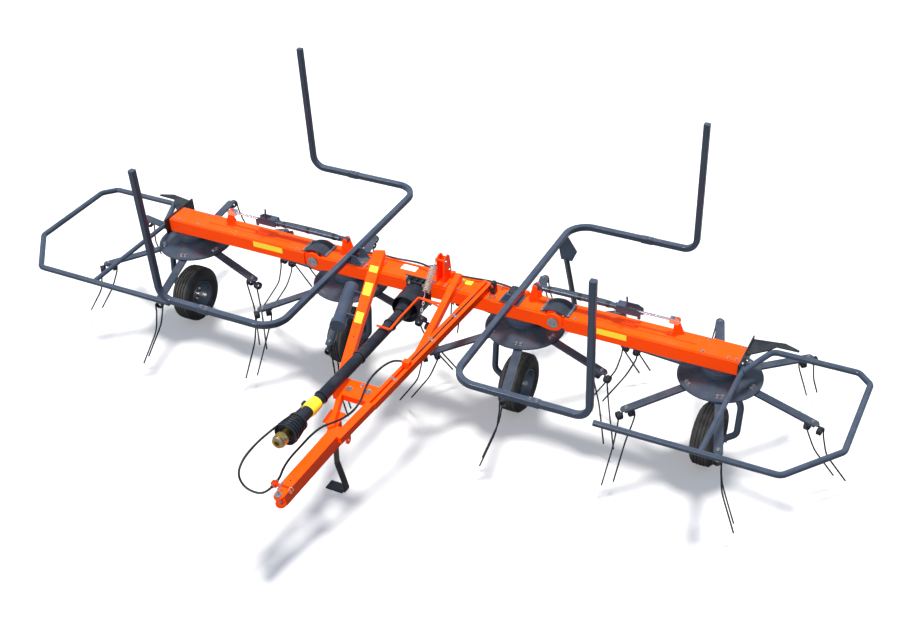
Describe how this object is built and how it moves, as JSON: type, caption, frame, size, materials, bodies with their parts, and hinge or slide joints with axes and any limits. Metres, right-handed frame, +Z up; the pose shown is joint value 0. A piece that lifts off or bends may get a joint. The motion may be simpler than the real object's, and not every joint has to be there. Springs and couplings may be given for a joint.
{
  "type": "trailed four-rotor hay tedder",
  "caption": "Trailed hay tedder with folding wings, spring-tined rotors, guard frames, drawbar, power shaft and parking stand.",
  "frame": {"origin": "on the ground, midway between the two guard loops and midway between the hitch tip and the rear guard bars", "axes": "+Z up, the drawbar points along -Y, +X to the right-hand wing"},
  "size_m": [5.718, 2.92, 1.76],
  "materials": {
    "orange_paint": "glossy orange paint",
    "grey_paint": "slate blue-grey paint",
    "black_paint": "black paint",
    "zinc_steel": "zinc plated",
    "bright_steel": "chromed rod",
    "spring_steel": "coated spring wire",
    "black_plastic": "moulded black plastic",
    "brass_steel": "yellow passivated yoke",
    "tyre_rubber": "ribbed rubber",
    "flap_rubber": "rubber sheet",
    "hose_rubber": "hydraulic hose rubber"
  },
  "bodies": {
    "chassis": {"centre_beam": "orange_paint", "hinge_pins": "zinc_steel", "drawbar_right_leg": "orange_paint", "drawbar_left_leg": "orange_paint", "drawbar_cross_plate": "orange_paint", "hitch_clevis": "orange_paint", "hitch_pin": "zinc_steel", "drive_gearbox": "black_paint", "power_shaft_guard": "black_plastic", "spring_tower": "orange_paint", "paper_canister": "grey_paint", "stand_bracket": "orange_paint", "guard_mounts": "grey_paint", "centre_gearboxes": "grey_paint", "centre_wheel_legs": "grey_paint", "centre_guard_left": "grey_paint", "centre_guard_right": "grey_paint", "hinge_flap_left": "flap_rubber", "hinge_flap_right": "flap_rubber", "drawbar_middle_leg": "orange_paint", "drawbar_tongue": "orange_paint", "shaft_rest_hook": "zinc_steel", "drive_shield": "black_plastic", "float_spring": "spring_steel", "hose_drawbar": "hose_rubber", "hose_nose_loop": "hose_rubber", "hose_beam_left": "hose_rubber", "hose_beam_right": "hose_rubber"},
    "power_yoke": {"power_shaft_yoke": "brass_steel"},
    "stand": {"parking_stand": "black_paint"},
    "wing_left": {"wing_beam_left": "orange_paint", "wing_gearbox_left": "grey_paint", "wing_wheel_leg_left": "grey_paint", "wing_guard_left": "grey_paint", "wing_bracket_left": "black_paint"},
    "barrel_left": {"cylinder_barrel_left": "grey_paint"},
    "rod_left": {"cylinder_rod_left": "bright_steel"},
    "wing_right": {"wing_beam_right": "orange_paint", "wing_gearbox_right": "grey_paint", "wing_wheel_leg_right": "grey_paint", "wing_guard_right": "grey_paint", "wing_bracket_right": "black_paint"},
    "barrel_right": {"cylinder_barrel_right": "grey_paint"},
    "rod_right": {"cylinder_rod_right": "bright_steel"},
    "rotor_outer_left": {"rotor_outer_left": "grey_paint", "tines_outer_left": "spring_steel"},
    "wheel_outer_left": {"tyre_outer_left": "tyre_rubber", "rim_outer_left": "grey_paint"},
    "rotor_inner_left": {"rotor_inner_left": "grey_paint", "tines_inner_left": "spring_steel"},
    "wheel_inner_left": {"tyre_inner_left": "tyre_rubber", "rim_inner_left": "grey_paint"},
    "rotor_inner_right": {"rotor_inner_right": "grey_paint", "tines_inner_right": "spring_steel"},
    "wheel_inner_right": {"tyre_inner_right": "tyre_rubber", "rim_inner_right": "grey_paint"},
    "rotor_outer_right": {"rotor_outer_right": "grey_paint", "tines_outer_right": "spring_steel"},
    "wheel_outer_right": {"tyre_outer_right": "tyre_rubber", "rim_outer_right": "grey_paint"}
  },
  "joints": [
    {"name": "wing_fold_left", "type": "hinge", "parent": "chassis", "child": "wing_left", "pos_m": [-0.889, 0.53, 0.738], "axis": [0, 1, 0], "range_deg": [0, 90], "deforming": ["hinge_flap_left"]},
    {"name": "wing_fold_right", "type": "hinge", "parent": "chassis", "child": "wing_right", "pos_m": [0.889, 0.53, 0.738], "axis": [0, -1, 0], "range_deg": [0, 90], "deforming": ["hinge_flap_right"]},
    {"name": "barrel_swing_left", "type": "hinge", "parent": "chassis", "child": "barrel_left", "pos_m": [-0.705, 0.59, 0.866], "axis": [0, 1, 0], "range_deg": [0, 90]},
    {"name": "rod_slide_left", "type": "slide", "parent": "barrel_left", "child": "rod_left", "axis": [-1, 0, 0], "range_m": [-0.32, 0]},
    {"name": "barrel_swing_right", "type": "hinge", "parent": "chassis", "child": "barrel_right", "pos_m": [0.705, 0.59, 0.866], "axis": [0, -1, 0], "range_deg": [0, 90]},
    {"name": "rod_slide_right", "type": "slide", "parent": "barrel_right", "child": "rod_right", "axis": [1, 0, 0], "range_m": [-0.32, 0]},
    {"name": "rotor_spin_outer_left", "type": "hinge", "parent": "wing_left", "child": "rotor_outer_left", "pos_m": [-1.965, 0.53, 0.59], "axis": [0, 0, 1], "continuous": true},
    {"name": "wheel_spin_outer_left", "type": "hinge", "parent": "wing_left", "child": "wheel_outer_left", "pos_m": [-1.965, 0.41, 0.2025], "axis": [1, 0, 0], "continuous": true},
    {"name": "rotor_spin_inner_left", "type": "hinge", "parent": "chassis", "child": "rotor_inner_left", "pos_m": [-0.655, 0.53, 0.59], "axis": [0, 0, 1], "continuous": true},
    {"name": "wheel_spin_inner_left", "type": "hinge", "parent": "chassis", "child": "wheel_inner_left", "pos_m": [-0.655, 0.41, 0.2025], "axis": [1, 0, 0], "continuous": true},
    {"name": "rotor_spin_inner_right", "type": "hinge", "parent": "chassis", "child": "rotor_inner_right", "pos_m": [0.655, 0.53, 0.59], "axis": [0, 0, 1], "continuous": true},
    {"name": "wheel_spin_inner_right", "type": "hinge", "parent": "chassis", "child": "wheel_inner_right", "pos_m": [0.655, 0.41, 0.2025], "axis": [1, 0, 0], "continuous": true},
    {"name": "rotor_spin_outer_right", "type": "hinge", "parent": "wing_right", "child": "rotor_outer_right", "pos_m": [1.965, 0.53, 0.59], "axis": [0, 0, 1], "continuous": true},
    {"name": "wheel_spin_outer_right", "type": "hinge", "parent": "wing_right", "child": "wheel_outer_right", "pos_m": [1.965, 0.41, 0.2025], "axis": [1, 0, 0], "continuous": true},
    {"name": "stand_swing", "type": "hinge", "parent": "chassis", "child": "stand", "pos_m": [-0.032, -0.782, 0.505], "axis": [1, 0, 0], "range_deg": [0, 90]},
    {"name": "power_yoke_spin", "type": "hinge", "parent": "chassis", "child": "power_yoke", "pos_m": [-0.066, -1.21, 0.751], "axis": [0.0026, -0.9994, 0.0353], "continuous": true}
  ],
  "couplings": [
    {"joint": "barrel_swing_left", "follows": "wing_fold_left", "ratio": 0.92},
    {"joint": "rod_slide_left", "follows": "wing_fold_left", "m_per_rad": -0.195},
    {"joint": "barrel_swing_right", "follows": "wing_fold_right", "ratio": 0.92},
    {"joint": "rod_slide_right", "follows": "wing_fold_right", "m_per_rad": -0.195},
    {"joint": "rotor_spin_outer_right", "follows": "rotor_spin_inner_right", "ratio": -1},
    {"joint": "rotor_spin_inner_left", "follows": "rotor_spin_inner_right", "ratio": -1},
    {"joint": "rotor_spin_outer_left", "follows": "rotor_spin_inner_right", "ratio": 1},
    {"joint": "power_yoke_spin", "follows": "rotor_spin_inner_right", "ratio": 3}
  ]
}
